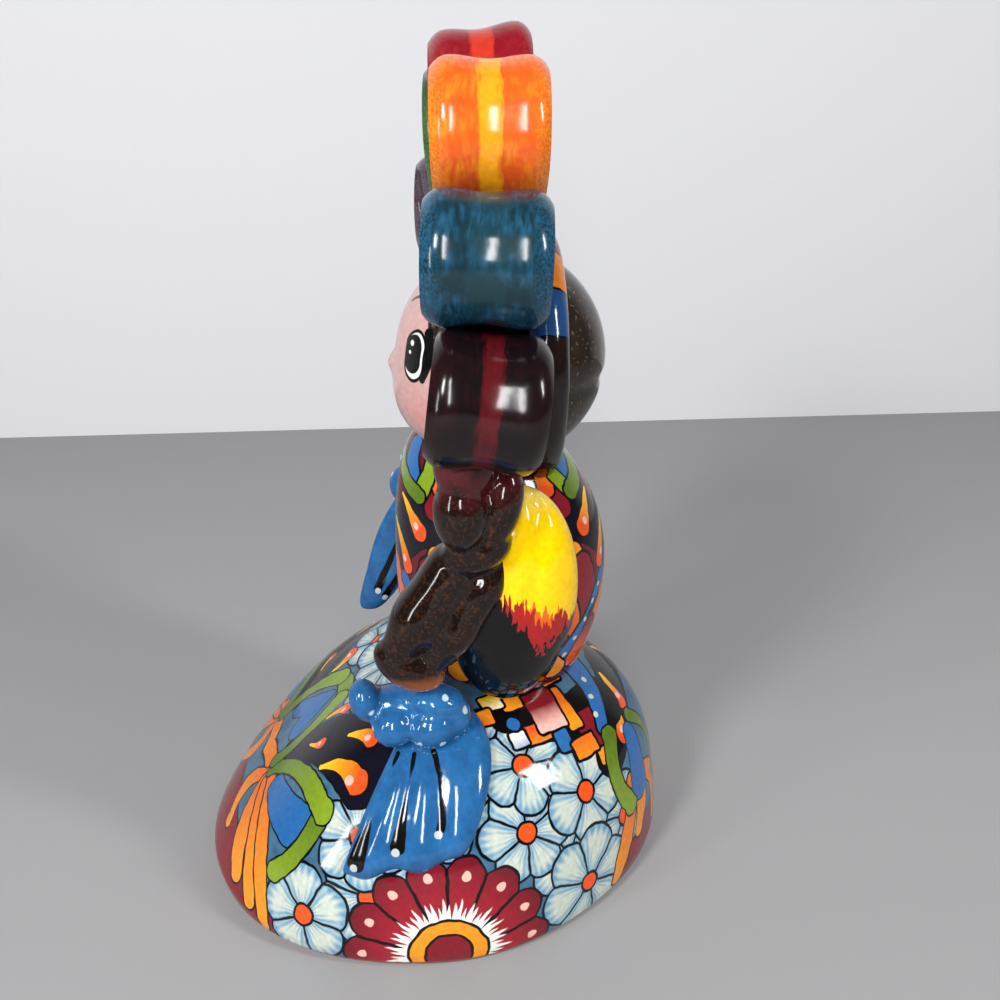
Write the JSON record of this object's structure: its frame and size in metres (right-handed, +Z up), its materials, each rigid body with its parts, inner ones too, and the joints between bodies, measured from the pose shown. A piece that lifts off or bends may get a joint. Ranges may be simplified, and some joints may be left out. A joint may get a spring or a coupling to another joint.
{
  "type": "ceramic doll figurine",
  "caption": "Seated rag-doll figurine in hand-painted glazed earthenware, with a dome skirt, braids and a fan of ribbon loops round its head.",
  "frame": {"origin": "on the standing surface, in the middle of the box round the figurine", "axes": "+Z up, the doll faces -Y and its left side is +X"},
  "size_m": [0.1482, 0.144, 0.2399],
  "materials": {
    "glazed_earthenware": "glossy clear glaze over hand-painted underglaze colours"
  },
  "bodies": {
    "root": {"doll_figurine": "glazed_earthenware"}
  },
  "joints": []
}
